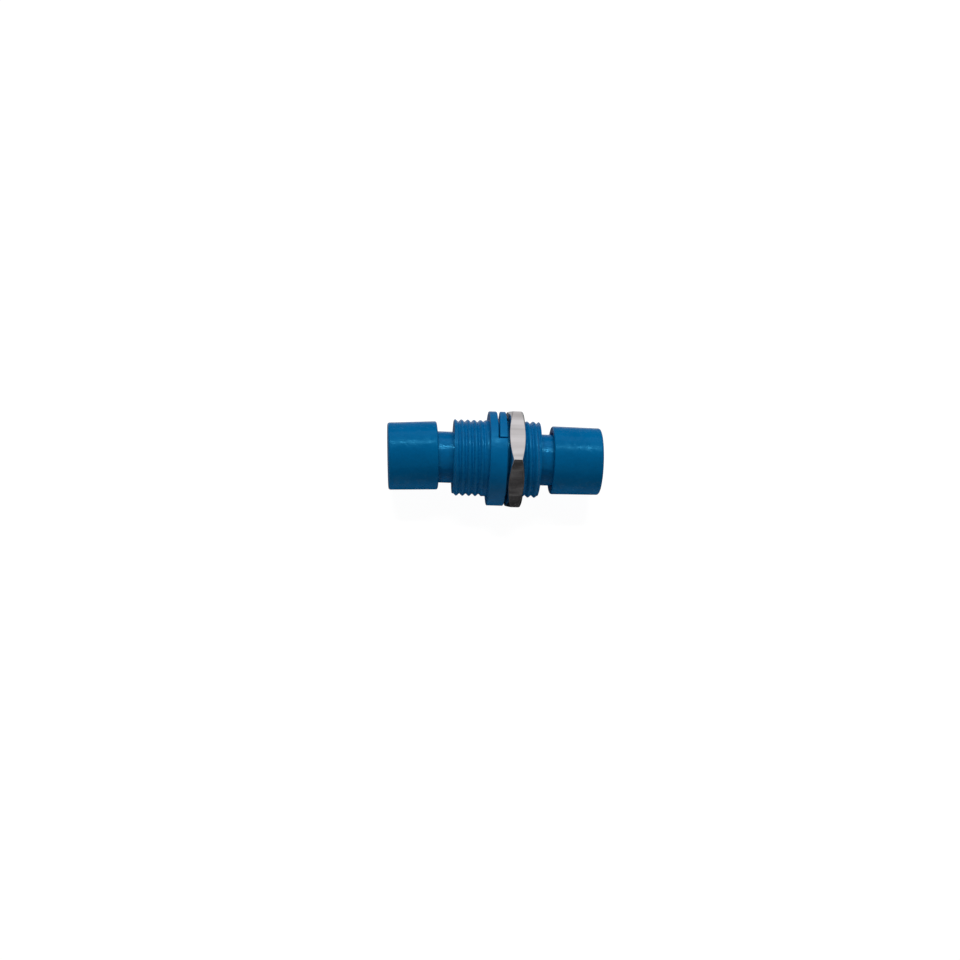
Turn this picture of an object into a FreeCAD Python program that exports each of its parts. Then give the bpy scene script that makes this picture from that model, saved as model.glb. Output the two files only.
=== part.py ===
import FreeCAD, Part
import math
import os
import Sketcher

# Panel adapter that joins two fibre plugs end to end, millimetres.
# X runs along the optical axis, +X towards the nut. The origin is on that axis, in the rear face of the
# flange, which is the face that a panel bears on. +Z is up as the adapter lies on a flat of its nut.
doc = FreeCAD.newDocument("FibreAdapter")

# Driving dimensions
sizes = {
    # flange, split by an L-shaped seam between the two housing halves
    "flange_diameter": 14.84,
    "flange_thickness": 2.6,
    "flange_edge": 0.15,
    "seam_width": 0.26,
    "seam_flare": 0.16,
    "lug_arc": 186.0,
    "lug_end_gap": 2.0,
    # threaded barrels, drawn at the thread's outside diameter (M12 x 1)
    "thread_diameter": 12.0,
    "barrel_length": 5.45,
    "barrel_chamfer": 0.35,
    "hub_clearance": 0.05,
    # noses that the caps sit on and the plugs go into
    "nose_diameter": 8.06,
    "nose_length": 8.45,
    "nose_chamfer": 0.3,
    "mouth_bore": 4.2,
    "mouth_length": 3.0,
    "mouth_lead_in": 0.4,
    "keyway_width": 1.0,
    "keyway_depth": 0.6,
    "cavity_bore": 6.4,
    # sleeve holders
    "collar_diameter": 10.0,
    "collar_thickness": 1.1,
    "collar_clearance": 0.02,
    "holder_length": 6.5,
    "holder_diameter": 4.4,
    "holder_bore": 3.26,
    "lip_bore": 2.7,
    "lip_length": 0.6,
    "finger_reach": 11.9,
    "finger_gap": 4.9,
    "finger_thickness": 0.5,
    "finger_width": 1.8,
    "hook_depth": 0.6,
    "hook_length": 1.0,
    # slit alignment sleeve for 2.5 mm ferrules
    "sleeve_diameter": 3.2,
    "sleeve_bore": 2.5,
    "sleeve_length": 11.4,
    "sleeve_slit": 0.5,
    # panel nut
    "nut_across_flats": 14.84,
    "nut_thickness": 2.4,
    "nut_gap": 0.33,
    "nut_bore": 12.1,
    "nut_bore_chamfer": 0.3,
    "nut_chamfer_angle": 25.0,
    # dust caps, with draft inside and out
    "cap_length": 7.7,
    "cap_depth": 6.5,
    "cap_mouth_diameter": 10.74,
    "cap_end_diameter": 10.54,
    "cap_mouth_bore": 8.7,
    "cap_end_bore": 8.16,
    "cap_mouth_edge": 0.15,
    "cap_end_edge": 0.35,
    "front_cap_gap": 2.5,
    "rear_cap_gap": 2.0,
    "front_cap_skew": 3.0,
    "skew_pivot": 0.7,
}
sheet = doc.addObject("Spreadsheet::Sheet", "Sizes")
for row, (alias, value) in enumerate(sizes.items(), start=1):
    sheet.set(f"A{row}", alias)
    sheet.set(f"B{row}", str(value))
    sheet.setAlias(f"B{row}", alias)
doc.recompute()

# Places along the axis
mid_plane = "-Sizes.flange_thickness / 2"
flange_front = "-Sizes.flange_thickness"
seam_front = f"{mid_plane} - Sizes.seam_width / 2"
seam_rear = f"{mid_plane} + Sizes.seam_width / 2"

# Radii that more than one piece uses
flange_radius = "Sizes.flange_diameter / 2"
thread_radius = "Sizes.thread_diameter / 2"
nose_radius = "Sizes.nose_diameter / 2"
mouth_radius = "Sizes.mouth_bore / 2"
cavity_radius = "Sizes.cavity_bore / 2"
collar_seat_radius = "Sizes.collar_diameter / 2"
on_axis = "0"


def from_middle(side, distance):
    """A place at a distance from the flange's middle, towards the front (-1) or the rear (1)."""
    return f"{mid_plane} + {side} * ({distance})"


barrel_reach = "Sizes.flange_thickness / 2 + Sizes.barrel_length"
nose_reach = f"{barrel_reach} + Sizes.nose_length"
cavity_reach = f"{nose_reach} - Sizes.mouth_length"


def new_body(label):
    body = doc.addObject("PartDesign::Body", label)
    body.Label = label
    return body


def origin_plane(body, role):
    return next(feature for feature in body.Origin.OriginFeatures if feature.Role == role)


def closed_outline(body, name, role, corners):
    """A closed outline of straight edges. Each corner is a pair of expressions, measured from the origin."""
    sketch = body.newObject("Sketcher::SketchObject", name)
    sketch.AttachmentSupport = (origin_plane(body, role), [""])
    sketch.MapMode = "FlatFace"
    count = len(corners)
    turn = 2 * math.pi / count
    start = [FreeCAD.Vector(math.cos(turn * i + 1), math.sin(turn * i + 1), 0) for i in range(count)]
    for i in range(count):
        sketch.addGeometry(Part.LineSegment(start[i], start[(i + 1) % count]))
    for i in range(count):
        sketch.addConstraint(Sketcher.Constraint("Coincident", i, 2, (i + 1) % count, 1))
    for i, (along, across) in enumerate(corners):
        for kind, now, expression in (("DistanceX", start[i].x, along), ("DistanceY", start[i].y, across)):
            index = sketch.addConstraint(Sketcher.Constraint(kind, -1, 1, i, 1, now))
            sketch.setExpression(f"Constraints[{index}]", expression)
    return sketch


def turned(body, kind, name, sketch, angle=None):
    """A Revolution or Groove of the outline about the X axis, whole or over an angle centred on the outline."""
    feature = body.newObject(f"PartDesign::{kind}", name)
    feature.Profile = sketch
    feature.ReferenceAxis = (sketch, ["H_Axis"])
    if angle is None:
        feature.Angle = 360
    else:
        feature.Midplane = True
        feature.setExpression("Angle", angle)
    body.Tip = feature
    return feature


def slab(body, kind, name, sketch, width):
    """A Pad or Pocket of the outline, to the same depth on both sides of its plane."""
    feature = body.newObject(f"PartDesign::{kind}", name)
    feature.Profile = sketch
    feature.SideType = "Symmetric"
    feature.setExpression("Length", width)
    body.Tip = feature
    return feature


def nose_and_barrel(side):
    """The outline that both housing halves share: barrel end, nose, plug mouth, cavity and collar seat."""
    barrel_end = from_middle(side, barrel_reach)
    nose_end = from_middle(side, nose_reach)
    cavity_end = from_middle(side, cavity_reach)
    collar_seat = from_middle(side, "Sizes.collar_thickness")
    return [
        (from_middle(side, f"{barrel_reach} - Sizes.barrel_chamfer"), thread_radius),
        (barrel_end, f"{thread_radius} - Sizes.barrel_chamfer"),
        (barrel_end, nose_radius),
        (from_middle(side, f"{nose_reach} - Sizes.nose_chamfer"), nose_radius),
        (nose_end, f"{nose_radius} - Sizes.nose_chamfer"),
        (nose_end, f"{mouth_radius} + Sizes.mouth_lead_in"),
        (from_middle(side, f"{nose_reach} - Sizes.mouth_lead_in"), mouth_radius),
        (cavity_end, mouth_radius),
        (cavity_end, cavity_radius),
        (collar_seat, cavity_radius),
        (collar_seat, collar_seat_radius),
        (seam_front, collar_seat_radius),
    ]


def cut_keyway(body, side):
    """The slot in the plug mouth that takes the plug's key, at the top."""
    slot = closed_outline(body, f"{body.Label}_keyway", "XZ_Plane", [
        (from_middle(side, cavity_reach), f"{mouth_radius} / 2"),
        (from_middle(side, f"{nose_reach} + Sizes.mouth_lead_in"), f"{mouth_radius} / 2"),
        (from_middle(side, f"{nose_reach} + Sizes.mouth_lead_in"), f"{mouth_radius} + Sizes.keyway_depth"),
        (from_middle(side, cavity_reach), f"{mouth_radius} + Sizes.keyway_depth"),
    ])
    slab(body, "Pocket", f"{body.Label}_keyway_cut", slot, "Sizes.keyway_width")


def make_front_housing():
    """Front half: flange with a pocket for the other half's lug, barrel and nose."""
    body = new_body("front_housing")
    hub_bore = f"{thread_radius} + Sizes.hub_clearance"
    shell = closed_outline(body, "front_shell", "XZ_Plane", [
        ("-Sizes.flange_edge", flange_radius),
        (f"{flange_front} + Sizes.flange_edge", flange_radius),
        (flange_front, f"{flange_radius} - Sizes.flange_edge"),
        (flange_front, thread_radius),
        *nose_and_barrel("-1"),
        (seam_front, hub_bore),
        (on_axis, hub_bore),
        (on_axis, f"{flange_radius} - Sizes.flange_edge"),
    ])
    turned(body, "Revolution", "front_shell_turned", shell)
    pocket = closed_outline(body, "lug_pocket", "XY_Plane", [
        (seam_front, thread_radius),
        (seam_front, f"{flange_radius} - Sizes.seam_flare"),
        (f"{seam_front} - 2 * Sizes.seam_flare", f"{flange_radius} + Sizes.seam_flare"),
        ("Sizes.seam_flare", f"{flange_radius} + Sizes.seam_flare"),
        ("Sizes.seam_flare", thread_radius),
    ])
    turned(body, "Groove", "lug_pocket_cut", pocket, "Sizes.lug_arc + 2 * Sizes.lug_end_gap")
    cut_keyway(body, "-1")
    return body


def make_rear_housing():
    """Rear half: barrel and nose, with a hub and a half-moon lug that seat in the front half's flange."""
    body = new_body("rear_housing")
    shell = closed_outline(body, "rear_shell", "XZ_Plane", [
        (seam_front, thread_radius),
        *nose_and_barrel("1"),
    ])
    turned(body, "Revolution", "rear_shell_turned", shell)
    inside_hub = f"({thread_radius} + {collar_seat_radius}) / 2"
    lug = closed_outline(body, "half_moon_lug", "XY_Plane", [
        (seam_rear, inside_hub),
        (seam_rear, f"{flange_radius} - Sizes.seam_flare"),
        (f"{seam_rear} + Sizes.seam_flare", flange_radius),
        ("-Sizes.flange_edge", flange_radius),
        (on_axis, f"{flange_radius} - Sizes.flange_edge"),
        (on_axis, inside_hub),
    ])
    turned(body, "Revolution", "half_moon_lug_turned", lug, "Sizes.lug_arc")
    cut_keyway(body, "1")
    return body


def make_sleeve_holder(label, side):
    """Tube with a collar, an end lip that keeps the sleeve in, and two hooked spring fingers."""
    body = new_body(label)
    bore_radius = "Sizes.holder_bore / 2"
    tube_radius = "Sizes.holder_diameter / 2"
    collar_radius = f"{collar_seat_radius} - Sizes.collar_clearance"
    collar_face = from_middle(side, "Sizes.collar_thickness")
    tube_end = from_middle(side, "Sizes.holder_length")
    lip_face = from_middle(side, "Sizes.holder_length - Sizes.lip_length")
    tube = closed_outline(body, f"{label}_tube", "XZ_Plane", [
        (mid_plane, bore_radius),
        (mid_plane, collar_radius),
        (collar_face, collar_radius),
        (collar_face, tube_radius),
        (tube_end, tube_radius),
        (tube_end, "Sizes.lip_bore / 2"),
        (lip_face, "Sizes.lip_bore / 2"),
        (lip_face, bore_radius),
    ])
    turned(body, "Revolution", f"{label}_tube_turned", tube)
    inner = "Sizes.finger_gap / 2"
    outer = f"{inner} + Sizes.finger_thickness"
    tip = from_middle(side, "Sizes.finger_reach")
    catch = from_middle(side, "Sizes.finger_reach - Sizes.hook_length")
    crest = from_middle(side, "Sizes.finger_reach - Sizes.hook_length / 2")
    root = from_middle(side, "Sizes.collar_thickness / 2")
    finger = closed_outline(body, f"{label}_finger", "XY_Plane", [
        (root, inner),
        (catch, inner),
        (catch, f"{inner} - Sizes.hook_depth"),
        (crest, f"{inner} - Sizes.hook_depth"),
        (tip, inner),
        (tip, outer),
        (root, outer),
    ])
    pad = slab(body, "Pad", f"{label}_finger_pad", finger, "Sizes.finger_width")
    pair = body.newObject("PartDesign::Mirrored", f"{label}_finger_pair")
    pair.Originals = [pad]
    pair.MirrorPlane = (origin_plane(body, "XZ_Plane"), [""])
    body.Tip = pair
    return body


def make_alignment_sleeve():
    """Thin ceramic tube, slit along its whole length at the top."""
    body = new_body("alignment_sleeve")
    ends = [from_middle(side, "Sizes.sleeve_length / 2") for side in ("-1", "1")]
    wall = closed_outline(body, "sleeve_wall", "XZ_Plane", [
        (ends[0], "Sizes.sleeve_bore / 2"),
        (ends[1], "Sizes.sleeve_bore / 2"),
        (ends[1], "Sizes.sleeve_diameter / 2"),
        (ends[0], "Sizes.sleeve_diameter / 2"),
    ])
    turned(body, "Revolution", "sleeve_wall_turned", wall)
    slit = closed_outline(body, "sleeve_slit", "XZ_Plane", [
        (ends[0], "Sizes.sleeve_bore / 4"),
        (ends[1], "Sizes.sleeve_bore / 4"),
        (ends[1], "Sizes.sleeve_diameter"),
        (ends[0], "Sizes.sleeve_diameter"),
    ])
    slab(body, "Pocket", "sleeve_slit_cut", slit, "Sizes.sleeve_slit")
    return body


def make_hex_nut():
    """Thin hexagon nut lying on a flat, with both faces turned down to a cone at the corners."""
    body = new_body("hex_nut")
    half_flats = "Sizes.nut_across_flats / 2"
    half_side = f"{half_flats} * tan(30)"
    corner = f"{half_flats} / cos(30)"
    hexagon = closed_outline(body, "hexagon", "YZ_Plane", [
        (corner, on_axis),
        (half_side, half_flats),
        (f"-{half_side}", half_flats),
        (f"-{corner}", on_axis),
        (f"-{half_side}", f"-{half_flats}"),
        (half_side, f"-{half_flats}"),
    ])
    hexagon.setExpression("AttachmentOffset.Base.z", "Sizes.nut_gap")
    blank = body.newObject("PartDesign::Pad", "nut_blank")
    blank.Profile = hexagon
    blank.setExpression("Length", "Sizes.nut_thickness")
    body.Tip = blank
    near_face = "Sizes.nut_gap"
    far_face = "Sizes.nut_gap + Sizes.nut_thickness"
    bore_radius = "Sizes.nut_bore / 2"
    bore = closed_outline(body, "nut_bore", "XZ_Plane", [
        (near_face, on_axis),
        (near_face, f"{bore_radius} + Sizes.nut_bore_chamfer"),
        (f"{near_face} + Sizes.nut_bore_chamfer", bore_radius),
        (f"{far_face} - Sizes.nut_bore_chamfer", bore_radius),
        (far_face, f"{bore_radius} + Sizes.nut_bore_chamfer"),
        (far_face, on_axis),
    ])
    turned(body, "Groove", "nut_bore_cut", bore)
    rise = "tan(Sizes.nut_chamfer_angle)"
    beyond = f"{half_flats} * 1.5"
    for face, inward in ((near_face, "1"), (far_face, "-1")):
        depth = f"{face} + {inward} * ({beyond} - {half_flats}) * {rise}"
        cone = closed_outline(body, f"nut_cone_{inward}", "XZ_Plane", [
            (face, half_flats),
            (depth, beyond),
            (face, beyond),
        ])
        turned(body, "Groove", f"nut_cone_cut_{inward}", cone)
    return body


def make_dust_cap(label, side, gap):
    """Cup that slides over a nose, with draft on its walls and its outer edges broken."""
    body = new_body(label)
    mouth_reach = f"{barrel_reach} + {gap}"
    mouth = from_middle(side, mouth_reach)
    floor = from_middle(side, f"{mouth_reach} + Sizes.cap_depth")
    closed_end = from_middle(side, f"{mouth_reach} + Sizes.cap_length")
    mouth_radius_out = "Sizes.cap_mouth_diameter / 2"
    end_radius_out = "Sizes.cap_end_diameter / 2"
    cup = closed_outline(body, f"{label}_wall", "XZ_Plane", [
        (mouth, "Sizes.cap_mouth_bore / 2"),
        (mouth, f"{mouth_radius_out} - Sizes.cap_mouth_edge"),
        (from_middle(side, f"{mouth_reach} + Sizes.cap_mouth_edge"), mouth_radius_out),
        (from_middle(side, f"{mouth_reach} + Sizes.cap_length - Sizes.cap_end_edge"), end_radius_out),
        (closed_end, f"{end_radius_out} - Sizes.cap_end_edge"),
        (closed_end, on_axis),
        (floor, on_axis),
        (floor, "Sizes.cap_end_bore / 2"),
    ])
    turned(body, "Revolution", f"{label}_wall_turned", cup)
    return body


def set_crooked(body):
    """Swing a cap about an upright axis near the nose's end, as it sits when it isn't pushed home."""
    pivot = from_middle("-1", f"{nose_reach} - Sizes.skew_pivot")
    body.Placement = FreeCAD.Placement(FreeCAD.Vector(), FreeCAD.Rotation(FreeCAD.Vector(0, 0, 1), 1))
    body.setExpression("Placement.Rotation.Angle", "Sizes.front_cap_skew")
    body.setExpression("Placement.Base.x", f"({pivot}) * (1 - cos(Sizes.front_cap_skew))")
    body.setExpression("Placement.Base.y", f"-({pivot}) * sin(Sizes.front_cap_skew)")


front_cap = make_dust_cap("front_dust_cap", "-1", "Sizes.front_cap_gap")
set_crooked(front_cap)
pieces = [
    make_front_housing(),
    make_rear_housing(),
    make_sleeve_holder("front_sleeve_holder", "-1"),
    make_sleeve_holder("rear_sleeve_holder", "1"),
    make_alignment_sleeve(),
    make_hex_nut(),
    front_cap,
    make_dust_cap("rear_dust_cap", "1", "Sizes.rear_cap_gap"),
]
doc.recompute()

failed = [item.Name for item in doc.Objects if {"Invalid", "Error"} & set(item.State)]
if failed:
    raise RuntimeError(f"these objects failed: {failed}")
for piece in pieces:
    if piece.Shape.isNull() or not piece.Shape.isValid() or len(piece.Shape.Solids) != 1:
        raise RuntimeError(f"{piece.Label} isn't one valid solid")

os.makedirs("parts", exist_ok=True)
for piece in pieces:
    piece.Shape.exportStep(f"parts/{piece.Label}.step")
    box = piece.Shape.BoundBox
    print(
        f"{piece.Label}: {piece.Shape.Volume:.1f} mm3,",
        f"x {box.XMin:.2f} to {box.XMax:.2f}, y {box.YMin:.2f} to {box.YMax:.2f},",
        f"z {box.ZMin:.2f} to {box.ZMax:.2f}",
    )
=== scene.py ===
import math

import bmesh
import bpy
from mathutils import Matrix, Vector


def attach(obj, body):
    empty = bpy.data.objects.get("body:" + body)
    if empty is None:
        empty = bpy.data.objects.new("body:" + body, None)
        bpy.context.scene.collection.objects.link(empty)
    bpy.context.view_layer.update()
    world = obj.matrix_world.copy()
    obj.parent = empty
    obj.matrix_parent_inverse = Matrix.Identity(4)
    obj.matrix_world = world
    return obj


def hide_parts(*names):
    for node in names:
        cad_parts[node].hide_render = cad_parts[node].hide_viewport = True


# Panel adapter that joins two fibre plugs. Sizes below are millimetres, the scene is in metres.
# Angles run round the axis from the front (-Y) over the top (+Z), so 60 faces the camera.
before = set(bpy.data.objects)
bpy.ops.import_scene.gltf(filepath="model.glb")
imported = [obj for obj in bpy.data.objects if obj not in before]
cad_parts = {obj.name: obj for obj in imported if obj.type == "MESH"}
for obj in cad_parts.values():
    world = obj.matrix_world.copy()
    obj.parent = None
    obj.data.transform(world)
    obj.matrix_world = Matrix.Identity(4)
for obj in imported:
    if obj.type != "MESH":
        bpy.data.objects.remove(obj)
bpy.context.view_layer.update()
mm = 0.001
fullTurn = 2 * math.pi
sixthTurn = math.pi / 3
weldReach = 0.0002  # points closer than this are one point
tiny = 1e-6  # keeps a division off zero


def onAxis(x, radius, angle):
    return (x * mm, -radius * math.cos(angle) * mm, radius * math.sin(angle) * mm)


def rounded(corners, steps=3):
    # outline of (x, radius) corners; a third number rounds that corner
    points = []
    for i, corner in enumerate(corners):
        here = Vector(corner[:2])
        if len(corner) == 2:
            points.append(tuple(here))
            continue
        back = (Vector(corners[i - 1][:2]) - here).normalized()
        on = (Vector(corners[(i + 1) % len(corners)][:2]) - here).normalized()
        half = back.angle(on) / 2
        reach = corner[2] / math.tan(half)
        centre = here + (back + on).normalized() * (corner[2] / math.sin(half))
        first = here + back * reach - centre
        last = here + on * reach - centre
        for k in range(steps + 1):
            points.append(tuple(centre + first.lerp(last, k / steps).normalized() * corner[2]))
    return points


def weld(mesh):
    bmesh.ops.remove_doubles(mesh, verts=mesh.verts, dist=weldReach * mm)
    bmesh.ops.dissolve_degenerate(mesh, edges=mesh.edges, dist=weldReach * mm)


def sweep(angles, column, closed=True, place=None):
    # turns a profile that may change with the angle; equal neighbours weld, so helical rows close up
    mesh = bmesh.new()
    rings = []
    for angle in angles:
        rings.append([mesh.verts.new(onAxis(x, r, angle[0])) for x, r in column(*angle)])
    count = len(rings[0])
    for left, right in zip(rings, rings[1:]):
        for i in range(count if closed else count - 1):
            j = (i + 1) % count
            mesh.faces.new((left[i], left[j], right[j], right[i]))
    weld(mesh)
    if place:
        mesh.transform(place)
    return mesh


def finishPiece(mesh, name, node, body, material, sharpAt):
    # sharpAt is the fold in degrees from which an edge stays crisp
    bmesh.ops.recalc_face_normals(mesh, faces=mesh.faces)
    for face in mesh.faces:
        face.smooth = True
    for edge in mesh.edges:
        edge.smooth = len(edge.link_faces) == 2 and edge.calc_face_angle(0) < math.radians(sharpAt)
    data = bpy.data.meshes.new(name)
    mesh.to_mesh(data)
    mesh.free()
    piece = bpy.data.objects.new(name, data)
    bpy.context.scene.collection.objects.link(piece)
    data.materials.append(material)
    weighted = piece.modifiers.new("weightedNormals", "WEIGHTED_NORMAL")
    weighted.keep_sharp = True
    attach(piece, body)
    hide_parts(node)
    print(f"{name}: {len(data.polygons)} faces")


# Materials

def colour(hexText):
    # sRGB hex to the linear values that shaders take
    parts = [int(hexText[i:i + 2], 16) / 255 for i in (1, 3, 5)]
    return (*[c / 12.92 if c <= 0.04045 else ((c + 0.055) / 1.055) ** 2.4 for c in parts], 1.0)


def addNode(tree, kind, settings=None, links=None):
    node = tree.nodes.new(kind)
    for key, value in (settings or {}).items():
        if isinstance(key, int) or key in node.inputs:
            node.inputs[key].default_value = value
        else:
            setattr(node, key, value)
    for key, source in (links or {}).items():
        tree.links.new(source, node.inputs[key])
    return node


def newMaterial(name):
    material = bpy.data.materials.new(name)
    material.use_nodes = True
    tree = material.node_tree
    tree.nodes.clear()
    return material, tree


def perMm(size):
    # noise scale for a feature of that many millimetres, in object coordinates
    return 1 / (size * mm)


def mouldedPlastic(name, look):
    # a steady body colour with a faint cloudiness; sink waves and duller patches break the highlight
    # into glints, handling has dulled the outer surfaces more than the necks, and the mould's grain
    # is drawn coarser than it is, because its true size is too fine to show
    material, tree = newMaterial(name)
    place = addNode(tree, "ShaderNodeTexCoord").outputs["Object"]
    cloud = addNode(tree, "ShaderNodeTexNoise", {"Scale": perMm(look["cloudSize"]), "Detail": 3.0},
                    {"Vector": place})
    tone = addNode(tree, "ShaderNodeValToRGB", {}, {"Fac": cloud.outputs["Fac"]})
    for element, position, shade in zip(tone.color_ramp.elements, look["cloudRange"], ("dark", "light")):
        element.position = position
        element.color = colour(look[shade])
    wave = addNode(tree, "ShaderNodeTexNoise", {"Scale": perMm(look["waveSize"]), "Detail": 1.5},
                   {"Vector": place})
    patch = addNode(tree, "ShaderNodeTexNoise", {"Scale": perMm(look["patchSize"]), "Detail": 2.0},
                    {"Vector": place})
    grain = addNode(tree, "ShaderNodeTexNoise", {"Scale": perMm(look["grainSize"]), "Detail": 2.0},
                    {"Vector": place})
    waveBump = addNode(tree, "ShaderNodeBump", {"Strength": 1.0, "Distance": look["waveDepth"] * mm},
                       {"Height": wave.outputs["Fac"]})
    bump = addNode(tree, "ShaderNodeBump", {"Strength": 1.0, "Distance": look["grainDepth"] * mm},
                   {"Height": grain.outputs["Fac"], "Normal": waveBump.outputs["Normal"]})
    rough = addNode(tree, "ShaderNodeMapRange", {
        "From Min": look["patchRange"][0], "From Max": look["patchRange"][1],
        "To Min": look["rough"] - look["patchGloss"], "To Max": look["rough"] + look["patchDull"],
    }, {"Value": patch.outputs["Fac"]})
    across = addNode(tree, "ShaderNodeVectorMath", {"operation": "MULTIPLY", 1: (0.0, 1.0, 1.0)},
                     {0: place})
    radius = addNode(tree, "ShaderNodeVectorMath", {"operation": "LENGTH"}, {0: across.outputs["Vector"]})
    scuffed = addNode(tree, "ShaderNodeMapRange", {
        "From Min": look["scuffFrom"] * mm, "From Max": look["scuffTo"] * mm,
        "To Min": 0.0, "To Max": look["scuff"],
    }, {"Value": radius.outputs["Value"]})
    dull = addNode(tree, "ShaderNodeMath", {"operation": "ADD"},
                   {0: rough.outputs["Result"], 1: scuffed.outputs["Result"]})
    shader = addNode(tree, "ShaderNodeBsdfPrincipled", {
        "IOR": look["ior"], "Specular IOR Level": look["gloss"], "Specular Tint": colour(look["sheenTint"]),
    }, {
        "Base Color": tone.outputs["Color"], "Roughness": dull.outputs[0], "Normal": bump.outputs["Normal"],
    })
    addNode(tree, "ShaderNodeOutputMaterial", {}, {"Surface": shader.outputs["BSDF"]})
    return material


plasticLook = {
    "cloudRange": (0.3, 0.7), "patchRange": (0.35, 0.65), "patchGloss": 0.07, "patchDull": 0.12,
    "scuffFrom": 4.6, "scuffTo": 7.4, "scuff": 0.0,
}
housingLook = {
    **plasticLook, "dark": "#00578B", "light": "#005E94", "cloudSize": 3.0, "waveSize": 0.8,
    "waveDepth": 0.042, "patchSize": 0.7, "grainSize": 0.4, "grainDepth": 0.01, "scuff": 0.17,
    "rough": 0.19, "ior": 1.54, "gloss": 0.32, "sheenTint": "#50CCFF",
}
capLook = {
    **plasticLook, "dark": "#00588B", "light": "#005F94", "cloudSize": 4.0, "waveSize": 0.8,
    "waveDepth": 0.038, "patchSize": 0.8, "grainSize": 0.45, "grainDepth": 0.022,
    "rough": 0.2, "ior": 1.51, "gloss": 0.17, "sheenTint": "#48CCFA",
}
holderLook = {
    **plasticLook, "dark": "#D8D0BC", "light": "#E2DAC8", "cloudSize": 3.0, "waveSize": 1.5,
    "waveDepth": 0.01, "patchSize": 0.8, "grainSize": 0.2, "grainDepth": 0.0015,
    "rough": 0.45, "ior": 1.54, "gloss": 0.5, "sheenTint": "#FFFFFF",
}
housingPlastic = mouldedPlastic("mouldedBluePbt", housingLook)
capPlastic = mouldedPlastic("mouldedBluePolyethylene", capLook)
holderPlastic = mouldedPlastic("mouldedNaturalPbt", holderLook)

nickelLook = {
    "dark": "#AEAAAA", "light": "#D0CCCE", "stainSize": 1.6, "stainRange": (0.35, 0.65),
    "rough": 0.09, "roughSpread": 0.02, "waveSize": 2.0, "waveDepth": 0.03,
    "lineSize": 0.12, "lineDepth": 0.0006, "drawnScale": (0.08, 1.0, 1.0), "turnedFrom": 0.6,
}


def nickelPlate(look):
    # plated bar stock: drawn flats that aren't quite flat, so the reflection breaks into soft bands,
    # and the tool's rings on the turned faces and cones
    material, tree = newMaterial("nickelPlatedBrass")
    place = addNode(tree, "ShaderNodeTexCoord").outputs["Object"]
    drawn = addNode(tree, "ShaderNodeMapping", {"Scale": look["drawnScale"]}, {"Vector": place})
    across = addNode(tree, "ShaderNodeVectorMath", {"operation": "MULTIPLY", 1: (0.0, 1.0, 1.0)},
                     {0: place})
    radius = addNode(tree, "ShaderNodeVectorMath", {"operation": "LENGTH"}, {0: across.outputs["Vector"]})
    rings = addNode(tree, "ShaderNodeCombineXYZ", {}, {"X": radius.outputs["Value"]})
    normal = addNode(tree, "ShaderNodeNewGeometry").outputs["Normal"]
    facing = addNode(tree, "ShaderNodeSeparateXYZ", {}, {"Vector": normal})
    endOn = addNode(tree, "ShaderNodeMath", {"operation": "ABSOLUTE"}, {0: facing.outputs["X"]})
    turned = addNode(tree, "ShaderNodeMath", {"operation": "GREATER_THAN", 1: look["turnedFrom"]},
                     {0: endOn.outputs[0]})
    # inputs 4 and 5 and output 1 are the vectors of a mix node
    mixed = addNode(tree, "ShaderNodeMix", {"data_type": "VECTOR"},
                    {0: turned.outputs[0], 4: drawn.outputs["Vector"], 5: rings.outputs["Vector"]})
    track = mixed.outputs[1]
    wave = addNode(tree, "ShaderNodeTexNoise", {"Scale": perMm(look["waveSize"]), "Detail": 1.0},
                   {"Vector": track})
    lines = addNode(tree, "ShaderNodeTexNoise", {"Scale": perMm(look["lineSize"]), "Detail": 3.0},
                    {"Vector": track})
    waveBump = addNode(tree, "ShaderNodeBump", {"Strength": 1.0, "Distance": look["waveDepth"] * mm},
                       {"Height": wave.outputs["Fac"]})
    bump = addNode(tree, "ShaderNodeBump", {"Strength": 1.0, "Distance": look["lineDepth"] * mm},
                   {"Height": lines.outputs["Fac"], "Normal": waveBump.outputs["Normal"]})
    rough = addNode(tree, "ShaderNodeMapRange", {
        "To Min": look["rough"] - look["roughSpread"], "To Max": look["rough"] + look["roughSpread"],
    }, {"Value": lines.outputs["Fac"]})
    stain = addNode(tree, "ShaderNodeTexNoise", {"Scale": perMm(look["stainSize"]), "Detail": 2.0},
                    {"Vector": track})
    tone = addNode(tree, "ShaderNodeValToRGB", {}, {"Fac": stain.outputs["Fac"]})
    for element, position, shade in zip(tone.color_ramp.elements, look["stainRange"], ("dark", "light")):
        element.position = position
        element.color = colour(look[shade])
    shader = addNode(tree, "ShaderNodeBsdfPrincipled", {"Metallic": 1.0},
                     {"Base Color": tone.outputs["Color"], "Roughness": rough.outputs["Result"],
                      "Normal": bump.outputs["Normal"]})
    addNode(tree, "ShaderNodeOutputMaterial", {}, {"Surface": shader.outputs["BSDF"]})
    return material


nickel = nickelPlate(nickelLook)

ceramicLook = {"dark": "#E9E6DC", "light": "#F2EFE6", "cloudSize": 1.5, "rough": 0.22, "ior": 2.1}


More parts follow.
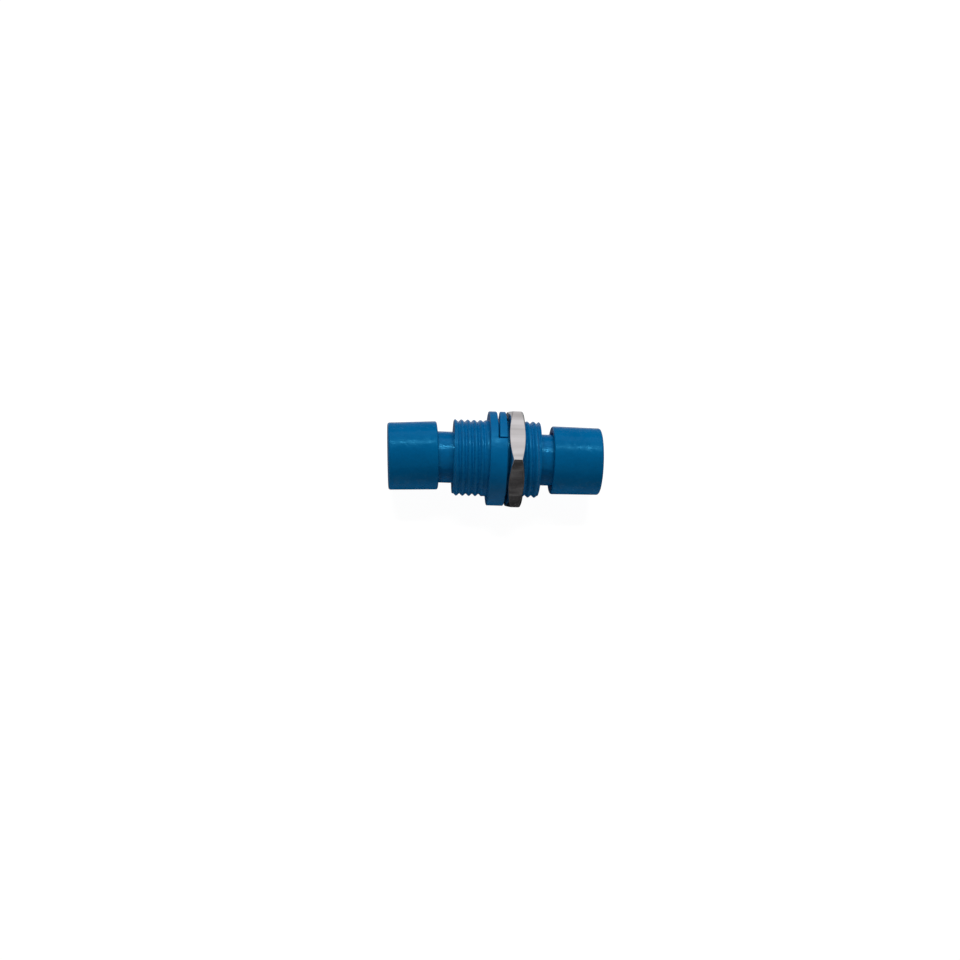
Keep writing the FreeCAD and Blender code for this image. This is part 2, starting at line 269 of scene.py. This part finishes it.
def groundZirconia(look):
    # ground white ceramic: dense, faintly warm, with a wet-looking gloss
    material, tree = newMaterial("groundZirconia")
    place = addNode(tree, "ShaderNodeTexCoord").outputs["Object"]
    cloud = addNode(tree, "ShaderNodeTexNoise", {"Scale": perMm(look["cloudSize"]), "Detail": 2.0},
                    {"Vector": place})
    tone = addNode(tree, "ShaderNodeValToRGB", {}, {"Fac": cloud.outputs["Fac"]})
    tone.color_ramp.elements[0].color = colour(look["dark"])
    tone.color_ramp.elements[1].color = colour(look["light"])
    shader = addNode(tree, "ShaderNodeBsdfPrincipled", {"IOR": look["ior"], "Roughness": look["rough"]},
                     {"Base Color": tone.outputs["Color"]})
    addNode(tree, "ShaderNodeOutputMaterial", {}, {"Surface": shader.outputs["BSDF"]})
    return material


zirconia = groundZirconia(ceramicLook)
print("materials made")

# Thread M12 x 1. Each row of the mesh follows the helix and is held between the ends of the barrel.
thread = {
    "pitch": 1.0, "crestRadius": 6.0, "depth": 0.34, "fadeFrom": 0.3, "fadeOver": 0.8,
    # share of a pitch from the crest, share of the depth
    "shape": [
        (0.0, 0.0), (0.075, 0.006), (0.105, 0.05), (0.25, 0.43), (0.4, 0.86), (0.45, 0.97), (0.5, 1.0),
    ],
}
crestAngle = math.radians(150)  # the upper outline in the photograph, where the crests were read


def threadCut(turns):
    away = abs(turns - round(turns))
    for (a, low), (b, high) in zip(thread["shape"], thread["shape"][1:]):
        if away <= b:
            return low + (high - low) * (away - a) / (b - a)
    return 1.0


def threadRows(low, high, crest):
    # helix rows that reach past both ends at every angle
    pitch = thread["pitch"]
    shares = sorted({s for s, _ in thread["shape"]} | {-s for s, _ in thread["shape"] if 0 < s < 0.5})
    first = math.floor((low - crest) / pitch) - 1
    last = math.ceil((high - crest) / pitch) + 1
    return [n + share for n in range(first, last + 1) for share in shares]


def helixShift(angle):
    return (angle - crestAngle) / fullTurn


def barrelSide(low, high, shoulder, crest, rows, angle):
    # threaded outline from low to high at one angle; the groove fades out towards the shoulder
    pitch = thread["pitch"]
    points = []
    for row in rows:
        x = min(max(crest + pitch * (row - helixShift(angle)), low), high)
        fade = min(max((abs(x - shoulder) - thread["fadeFrom"]) / thread["fadeOver"], 0), 1)
        fade = fade * fade * (3 - 2 * fade)
        cut = threadCut((x - crest) / pitch + helixShift(angle))
        points.append((x, thread["crestRadius"] - thread["depth"] * fade * cut))
    return points


# Housing halves: the front one carries the flange, the rear one drops a half-moon lug into it
housing = {
    "flangeRadius": 7.42, "flangeThickness": 2.6, "flangeEdge": 0.1,
    "seam": 0.17, "seamSpread": 0.45, "seamFlare": 0.1,
    "lugFrom": 87.0, "lugTo": 273.0, "pocketFrom": 86.0, "pocketTo": 274.0, "lugEdge": 0.12,
    "barrel": 5.45, "barrelEdge": 0.12, "noseRadius": 4.03, "noseLength": 8.45, "noseEdge": 0.3,
    "boreRadius": 2.1, "boreLength": 3.0, "boreLeadIn": 0.4, "keyHalfWidth": 0.5, "keyHeight": 2.7,
    "cavityRadius": 3.2, "collarRadius": 5.0, "collarDepth": 1.1, "hubRadius": 6.0, "hubBore": 6.05,
    "frontCrest": -7.88, "rearCrest": 5.45, "columns": 240, "sharpAt": 32,
    # for the ends of the half ring: clearance above the hub, then radians
    "endClear": 0.02, "endNear": 1e-4, "endFold": 0.6, "columnRoom": 0.003,
}
middle = -housing["flangeThickness"] / 2
seamFront = middle - housing["seam"] / 2
seamRear = middle + housing["seam"] / 2


def keySlot(angle):
    # distance from the axis to the key slot's wall, with its parallel sides; 0 away from the slot
    side = abs(math.sin(angle - math.pi / 2))
    rise = math.cos(angle - math.pi / 2)
    if rise <= 0:
        return 0.0
    return min(housing["keyHeight"] / rise, housing["keyHalfWidth"] / max(side, tiny))


def keyAngles():
    half = housing["keyHalfWidth"]
    flat = math.atan(half / housing["keyHeight"])
    mouth = math.asin(half / (housing["boreRadius"] + housing["boreLeadIn"]))
    bore = math.asin(half / housing["boreRadius"])
    return [math.pi / 2 + sign * a for sign in (-1, 1) for a in (flat, mouth, bore)]


def noseSide(side, angle):
    # from the barrel's end round the nose, into the plug mouth and back to the collar seat
    h = housing
    end = middle + side * (h["flangeThickness"] / 2 + h["barrel"])
    tip = end + side * h["noseLength"]
    bore = max(h["boreRadius"], keySlot(angle))
    mouth = max(h["boreRadius"] + h["boreLeadIn"], keySlot(angle))
    wall = tip - side * h["boreLength"]
    return rounded([
        (end, h["noseRadius"]),
        (tip, h["noseRadius"], h["noseEdge"]),
        (tip, mouth),
        (tip - side * h["boreLeadIn"], bore),
        (wall, bore),
        (wall, h["cavityRadius"]),
        (middle + side * h["collarDepth"], h["cavityRadius"]),
        (middle + side * h["collarDepth"], h["collarRadius"]),
        (seamFront, h["collarRadius"]),
    ])


def stepped(first, last, steps):
    return [tuple(Vector(first).lerp(Vector(last), k / (steps - 1))) for k in range(steps)]


def housingAngles(start, stop):
    # even columns, the key slot's edges, and a doubled column at both ends of the half ring
    start, stop = math.radians(start), math.radians(stop)
    room = housing["columnRoom"]
    extra = [a for a in keyAngles() if all(abs(a - b) > room for b in (start, stop))]
    edgeRoom = 2 * housing["lugEdge"] / housing["flangeRadius"]  # for the softened edges
    even = [fullTurn * k / housing["columns"] for k in range(housing["columns"] + 1)]
    even = [a for a in even if all(abs(a - b) > edgeRoom for b in (start, stop))]
    plain = [a for a in even if all(abs(a - b) > 2 * room for b in extra)] + extra
    inside = [(a, True) for a in plain if start < a < stop] + [(start, True), (stop, True)]
    outside = [(a, False) for a in plain if not start <= a <= stop] + [(start, False), (stop, False)]
    # of a doubled column, the one outside comes first where the ring starts and last where it stops
    return sorted(inside + outside, key=lambda item: (item[0], item[1] == (item[0] < math.pi)))


frontEnd = -housing["flangeThickness"] - housing["barrel"]
frontFace = -housing["flangeThickness"]
frontRows = threadRows(frontEnd, frontFace, housing["frontCrest"])
rearRows = threadRows(0.0, housing["barrel"], housing["rearCrest"])


def frontColumn(angle, inPocket):
    h = housing
    outer, edge, flare = h["flangeRadius"], h["flangeEdge"], h["seamFlare"]
    full = rounded([
        (seamFront, h["hubBore"]), (0.0, h["hubBore"]), (0.0, outer, edge), (seamFront - flare, outer),
    ])
    if inPocket:
        face = stepped((seamFront, h["hubBore"]), (seamFront, outer - flare), len(full) - 1)
        full = face + [(seamFront - flare, outer)]
    flange = rounded([
        (seamFront - flare, outer), (frontFace, outer, edge), (frontFace, h["hubRadius"]),
    ])[1:]
    low = frontEnd + h["barrelEdge"]
    barrel = barrelSide(low, frontFace, frontFace, h["frontCrest"], frontRows, angle)
    barrel.reverse()
    tip = (frontEnd, min(barrel[-1][1], thread["crestRadius"] - h["barrelEdge"]))
    return full + flange + barrel + [tip] + noseSide(-1, angle)


def rearColumn(angle, inLug):
    h = housing
    outer, edge, flare = h["flangeRadius"], h["flangeEdge"], h["seamFlare"]
    face = seamRear + h["seamSpread"] * max(-math.cos(angle), 0) ** 2  # the seam opens towards the back
    lug = rounded([
        (face, h["hubRadius"]), (face, outer - flare), (face + flare, outer), (0.0, outer, edge),
        (0.0, h["hubRadius"]),
    ])
    if not inLug:
        lug = stepped((seamRear, h["hubRadius"]), (0.0, h["hubRadius"]), len(lug))
    end = h["barrel"]
    barrel = barrelSide(0.0, end - h["barrelEdge"], 0.0, h["rearCrest"], rearRows, angle)
    tip = (end, min(barrel[-1][1], thread["crestRadius"] - h["barrelEdge"]))
    return [(seamFront, h["hubRadius"])] + lug + barrel + [tip] + noseSide(1, angle)


def softenEnds(mesh, ends, low):
    # breaks the outer edges where the half ring ends, so they catch the light as moulded edges do
    found = []
    for edge in mesh.edges:
        spots = [v.co / mm for v in edge.verts]
        if len(edge.link_faces) != 2 or min(math.hypot(s.y, s.z) for s in spots) <= low:
            continue
        turns = [math.atan2(s.z, -s.y) % fullTurn for s in spots]
        atEnd = any(all(abs(t - math.radians(e)) < housing["endNear"] for t in turns) for e in ends)
        if atEnd and edge.is_convex and edge.calc_face_angle(0) > housing["endFold"]:
            found.append(edge)
    bmesh.ops.bevel(mesh, geom=found, offset=housing["lugEdge"] * mm, segments=3, profile=0.5,
                    affect="EDGES", clamp_overlap=True)
    weld(mesh)


def makeHalf(name, node, column, start, stop, hub):
    mesh = sweep(housingAngles(start, stop), column)
    bmesh.ops.recalc_face_normals(mesh, faces=mesh.faces)
    softenEnds(mesh, (start, stop), hub + housing["endClear"])
    finishPiece(mesh, name, node, "housing", housingPlastic, housing["sharpAt"])


makeHalf("frontHousing", "front_housing", frontColumn, housing["pocketFrom"], housing["pocketTo"],
         housing["hubBore"])
makeHalf("rearHousing", "rear_housing", rearColumn, housing["lugFrom"], housing["lugTo"],
         housing["hubRadius"])

# Panel nut: hexagon with crisp corners, both faces turned to a cone
nut = {
    "halfFlats": 7.42, "near": 0.33, "thickness": 2.4, "coneFrom": 7.34, "coneAngle": 25.0,
    "edge": 0.09, "boreRadius": 6.06, "boreEdge": 0.3, "grooveDepth": 0.42, "columnsPerFlat": 36,
    "sharpAt": 28,
}
nutRows = threadRows(nut["near"], nut["near"] + nut["thickness"], housing["rearCrest"])


def nutAngles():
    # even columns, one of them on each corner
    steps = 6 * nut["columnsPerFlat"]
    return [(fullTurn * k / steps,) for k in range(steps + 1)]


def hexRadius(angle):
    return nut["halfFlats"] / math.cos(angle % sixthTurn - sixthTurn / 2)


def nutColumn(angle):
    near, far = nut["near"], nut["near"] + nut["thickness"]
    outer = hexRadius(angle)
    drop = (outer - nut["coneFrom"]) * math.tan(math.radians(nut["coneAngle"]))
    outside = rounded([
        (near, nut["boreRadius"] + nut["boreEdge"]),
        (near, nut["coneFrom"]),
        (near + drop, outer, nut["edge"]),
        (far - drop, outer, nut["edge"]),
        (far, nut["coneFrom"]),
        (far, nut["boreRadius"] + nut["boreEdge"]),
    ])
    pitch = thread["pitch"]
    inside = []
    for row in nutRows:
        x = min(max(housing["rearCrest"] + pitch * (row - helixShift(angle)), near), far)
        cut = threadCut((x - housing["rearCrest"]) / pitch + helixShift(angle))
        mouth = nut["boreEdge"] - min(x - near, far - x)
        inside.append((x, nut["boreRadius"] + max(nut["grooveDepth"] * (1 - cut), mouth)))
    inside.reverse()
    return outside + inside


nutMesh = sweep(nutAngles(), nutColumn)
finishPiece(nutMesh, "hexNut", "hex_nut", "nut", nickel, nut["sharpAt"])

# Dust caps: thin cups with a little draft, rounded where the mould let them go
cap = {
    "length": 7.7, "depth": 6.5, "mouthRadius": 5.37, "endRadius": 5.27, "mouthBore": 4.35, "endBore": 4.08,
    "mouthEdge": 0.27, "boreEdge": 0.35, "endEdge": 0.33, "floorEdge": 0.4, "edgeSteps": 5,
    "frontGap": 2.5, "rearGap": 2.0, "frontSkew": 3.0, "skewPivot": -15.8, "columns": 160, "sharpAt": 40,
    "gateRadius": 0.9, "gateDepth": 0.15, "gateSlope": 0.15, "stubRadius": 0.3, "stubHeight": 0.08,
}


def capColumn(mouth, side):
    end = mouth + side * cap["length"]
    floor = mouth + side * cap["depth"]
    gate = end - side * cap["gateDepth"]  # dimple with the stub that the moulding gate left
    stub = gate + side * cap["stubHeight"]
    return rounded([
        (floor, 0.0),
        (floor, cap["endBore"], cap["floorEdge"]),
        (mouth, cap["mouthBore"], cap["boreEdge"]),
        (mouth, cap["mouthRadius"], cap["mouthEdge"]),
        (end, cap["endRadius"], cap["endEdge"]),
        (end, cap["gateRadius"]),
        (gate, cap["gateRadius"] - cap["gateSlope"]),
        (gate, cap["stubRadius"]),
        (stub, cap["stubRadius"] - cap["stubHeight"]),
        (stub, 0.0),
    ], steps=cap["edgeSteps"])


def makeCap(name, node, body, mouth, side, place=None):
    profile = capColumn(mouth, side)
    angles = [(fullTurn * k / cap["columns"],) for k in range(cap["columns"] + 1)]
    mesh = sweep(angles, lambda angle: profile, closed=False, place=place)
    finishPiece(mesh, name, node, body, capPlastic, cap["sharpAt"])


pivot = Vector((cap["skewPivot"] * mm, 0, 0))  # the front cap sits a little crooked on its nose
skew = Matrix.Rotation(math.radians(cap["frontSkew"]), 4, "Z")
crooked = Matrix.Translation(pivot) @ skew @ Matrix.Translation(-pivot)
makeCap("frontDustCap", "front_dust_cap", "front_cap", frontEnd - cap["frontGap"], -1, crooked)
makeCap("rearDustCap", "rear_dust_cap", "rear_cap", housing["barrel"] + cap["rearGap"], 1)

# Pieces inside, which show once a cap is off
for node, material in (("front_sleeve_holder", holderPlastic), ("rear_sleeve_holder", holderPlastic),
                       ("alignment_sleeve", zirconia)):
    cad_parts[node].data.materials.clear()
    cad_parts[node].data.materials.append(material)
print("pieces made")

# Studio: pale floor, a lamp and a wide diffuser above and a little behind, cards that only reflections see,
# which paint reflections into the metal
studio = {
    "floorLevel": -7.42, "floorSize": 1600.0, "floorTone": "#F0F0F0", "floorShade": "#606060",
    "floorGlow": 0.97, "tableGlow": 0.35,
    "skyTone": "#FFFFFF", "skyLevel": 0.07, "skyGlow": 0.96, "lightReach": 260.0,
    "lampAngle": 107.0, "lampSize": (200.0, 30.0), "lampPower": 0.37,
    "roofAngle": 126.0, "roofSize": (220.0, 190.0), "roofPower": 0.37,
    "cardHalfWidth": 130.0, "cardFront": -90.0, "cardBack": 116.0, "backHeight": 75.0,
    # places and tones of the cards, which paint the metal's reflections
    "paleFrom": 14.0, "paleTo": 24.0, "matLift": 0.02,
    "matTone": "#5E5E5E", "paleTone": "#CACACA", "backTone": "#383838",
    # stripes of the front card, painted as bands in the nut's reflection: tone, from, to above the floor
    "frontBands": [
        ("#2E2E2E", 0.05, 4.6), ("#7A7A7A", 4.6, 6.2), ("#424242", 6.2, 12.4), ("#747474", 12.4, 15.0),
        ("#282828", 15.0, 17.5), ("#525252", 17.5, 40.0),
    ],
}


def sheetObject(name, corners, material):
    data = bpy.data.meshes.new(name)
    points = [tuple(c * mm for c in corner) for corner in corners]
    data.from_pydata(points, [], [tuple(range(len(points)))])
    data.materials.append(material)
    piece = bpy.data.objects.new(name, data)
    bpy.context.scene.collection.objects.link(piece)
    return piece


def seenDirectly(tree):
    # 1 for what the camera, a reflection or glass sees, 0 for light that the surface sends on
    path = addNode(tree, "ShaderNodeLightPath")
    glossy = addNode(tree, "ShaderNodeMath", {"operation": "MAXIMUM"},
                     {0: path.outputs["Is Camera Ray"], 1: path.outputs["Is Glossy Ray"]})
    return addNode(tree, "ShaderNodeMath", {"operation": "MAXIMUM"},
                   {0: glossy.outputs[0], 1: path.outputs["Is Transmission Ray"]}).outputs[0]


floorMaterial, tree = newMaterial("paintedFloor")
seen = seenDirectly(tree)
# inputs 6 and 7 and output 2 are the colours of a mix node
tone = addNode(tree, "ShaderNodeMix", {
    "data_type": "RGBA", 6: colour(studio["floorTone"]), 7: colour(studio["floorShade"]),
}, {"Factor": seen})
lit = addNode(tree, "ShaderNodeBsdfDiffuse", {}, {"Color": tone.outputs[2]})
strength = addNode(tree, "ShaderNodeMapRange", {
    "To Min": studio["tableGlow"], "To Max": studio["floorGlow"],
}, {"Value": seen})
glow = addNode(tree, "ShaderNodeEmission", {"Color": colour("#FFFFFF")},
               {"Strength": strength.outputs["Result"]})
both = addNode(tree, "ShaderNodeAddShader", {}, {0: lit.outputs[0], 1: glow.outputs[0]})
addNode(tree, "ShaderNodeOutputMaterial", {}, {"Surface": both.outputs[0]})
half = studio["floorSize"] / 2
level = studio["floorLevel"]
sheetObject("floor", [
    (-half, -half, level), (half, -half, level), (half, half, level), (-half, half, level),
], floorMaterial)

# cards that only reflections see: their tones paint dark, banded reflections into the lower flats of the
# metal, and a pale strip behind the part paints a pale reflection into the nut's upper rim
wide, near, far = studio["cardHalfWidth"], studio["cardFront"], studio["cardBack"]
lift = level + studio["matLift"]
paleFrom, paleTo = studio["paleFrom"], studio["paleTo"]
cards = {
    "frontMat": (studio["matTone"], (near, lift), (paleFrom, lift)),
    "paleMat": (studio["paleTone"], (paleFrom, lift), (paleTo, lift)),
    "backMat": (studio["matTone"], (paleTo, lift), (far, lift)),
    "backCard": (studio["backTone"], (far, lift), (far, level + studio["backHeight"])),
}
for i, (tone, low, high) in enumerate(studio["frontBands"]):
    cards[f"frontBand{i}"] = (tone, (near, level + low), (near, level + high))
for name, (tone, (y0, z0), (y1, z1)) in cards.items():
    # each card's plain colour is a painted reflection, seen only by glossy rays
    paintedReflection, tree = newMaterial(name + "PaintedReflection")
    dull = addNode(tree, "ShaderNodeBsdfDiffuse", {"Color": colour(tone)})
    addNode(tree, "ShaderNodeOutputMaterial", {}, {"Surface": dull.outputs[0]})
    card = sheetObject(name, [(-wide, y0, z0), (wide, y0, z0), (wide, y1, z1), (-wide, y1, z1)], paintedReflection)
    card.visible_camera = False
    card.visible_diffuse = False
    card.visible_shadow = False

world = bpy.data.worlds.new("studioSky")
bpy.context.scene.world = world
world.use_nodes = True
tree = world.node_tree
tree.nodes.clear()
skyTone = colour(studio["skyTone"])
dim = addNode(tree, "ShaderNodeBackground", {"Color": skyTone, "Strength": studio["skyLevel"]})
bright = addNode(tree, "ShaderNodeBackground", {"Color": skyTone, "Strength": studio["skyGlow"]})
sky = addNode(tree, "ShaderNodeMixShader", {},
              {"Fac": seenDirectly(tree), 1: dim.outputs[0], 2: bright.outputs[0]})
addNode(tree, "ShaderNodeOutputWorld", {}, {"Surface": sky.outputs[0]})

for name in ("lamp", "roof"):
    lightData = bpy.data.lights.new(name, "AREA")
    lightData.shape = "RECTANGLE"
    lightData.size, lightData.size_y = (s * mm for s in studio[name + "Size"])
    lightData.energy = studio[name + "Power"]
    light = bpy.data.objects.new(name, lightData)
    bpy.context.scene.collection.objects.link(light)
    light.location = onAxis(0.0, studio["lightReach"], math.radians(studio[name + "Angle"]))
    light.rotation_euler = (-light.location).to_track_quat("-Z", "Y").to_euler()
    light.visible_camera = False
    light.visible_glossy = name == "lamp"  # reflections see the bright sky where the diffuser hangs

# Camera, fitted to the outline in the photograph
shot = {
    "place": (-16.70, -99.09, 173.73), "aim": (-3.68, -3.21, -1.31), "roll": 8.43,
    "lens": 47.66, "sensor": 36.0, "clipFrom": 5.0, "clipTo": 10000.0,
}
cameraData = bpy.data.cameras.new("shot")
cameraData.lens = shot["lens"]
cameraData.sensor_width = shot["sensor"]
cameraData.clip_start = shot["clipFrom"] * mm
cameraData.clip_end = shot["clipTo"] * mm
camera = bpy.data.objects.new("shot", cameraData)
bpy.context.scene.collection.objects.link(camera)
camera.location = Vector(shot["place"]) * mm
towards = (Vector(shot["aim"]) - Vector(shot["place"])).to_track_quat("-Z", "Y")
roll = Matrix.Rotation(math.radians(shot["roll"]), 3, "Z").to_quaternion()
camera.rotation_mode = "QUATERNION"
camera.rotation_quaternion = towards @ roll
bpy.context.scene.camera = camera
bpy.context.scene.view_settings.view_transform = "Standard"
print("studio made")
